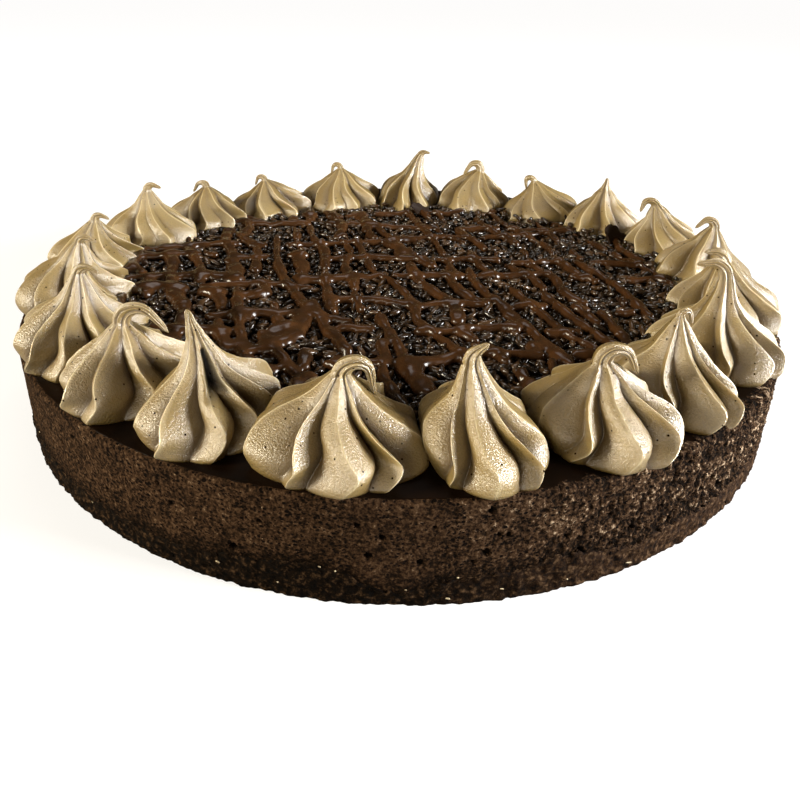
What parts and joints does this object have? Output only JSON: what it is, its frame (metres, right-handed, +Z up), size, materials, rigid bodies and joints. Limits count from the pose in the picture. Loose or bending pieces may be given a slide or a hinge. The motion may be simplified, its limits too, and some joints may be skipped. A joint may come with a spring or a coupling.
{
  "type": "chocolate mousse cake",
  "caption": "Round chocolate mousse cake on a dark crumb base, thinly glazed, with chocolate granules and drizzle inside a ring of piped mocha cream rosettes.",
  "frame": {"origin": "centre of the cake's underside, on the surface it stands on", "axes": "+Z up along the cake's axis, -Y towards the front, +X to the right as seen from the front"},
  "size_m": [0.2629, 0.2609, 0.0606],
  "materials": {
    "dark_crumb": "rough and crumbly",
    "chocolate_mousse": "matt and porous",
    "dark_glaze": "smooth and glossy",
    "chocolate_granules": "glossy bits under a glossy drizzle",
    "mocha_cream": "soft sheen with fine air pores"
  },
  "bodies": {
    "root": {"crumb_base": "dark_crumb", "mousse_layer": "chocolate_mousse", "chocolate_glaze": "dark_glaze", "chocolate_topping": "chocolate_granules", "rosette_01": "mocha_cream", "rosette_02": "mocha_cream", "rosette_03": "mocha_cream", "rosette_04": "mocha_cream", "rosette_05": "mocha_cream", "rosette_06": "mocha_cream", "rosette_07": "mocha_cream", "rosette_08": "mocha_cream", "rosette_09": "mocha_cream", "rosette_10": "mocha_cream", "rosette_11": "mocha_cream", "rosette_12": "mocha_cream", "rosette_13": "mocha_cream", "rosette_14": "mocha_cream", "rosette_15": "mocha_cream", "rosette_16": "mocha_cream", "rosette_17": "mocha_cream", "rosette_18": "mocha_cream", "rosette_19": "mocha_cream", "rosette_20": "mocha_cream", "rosette_21": "mocha_cream"}
  },
  "joints": []
}
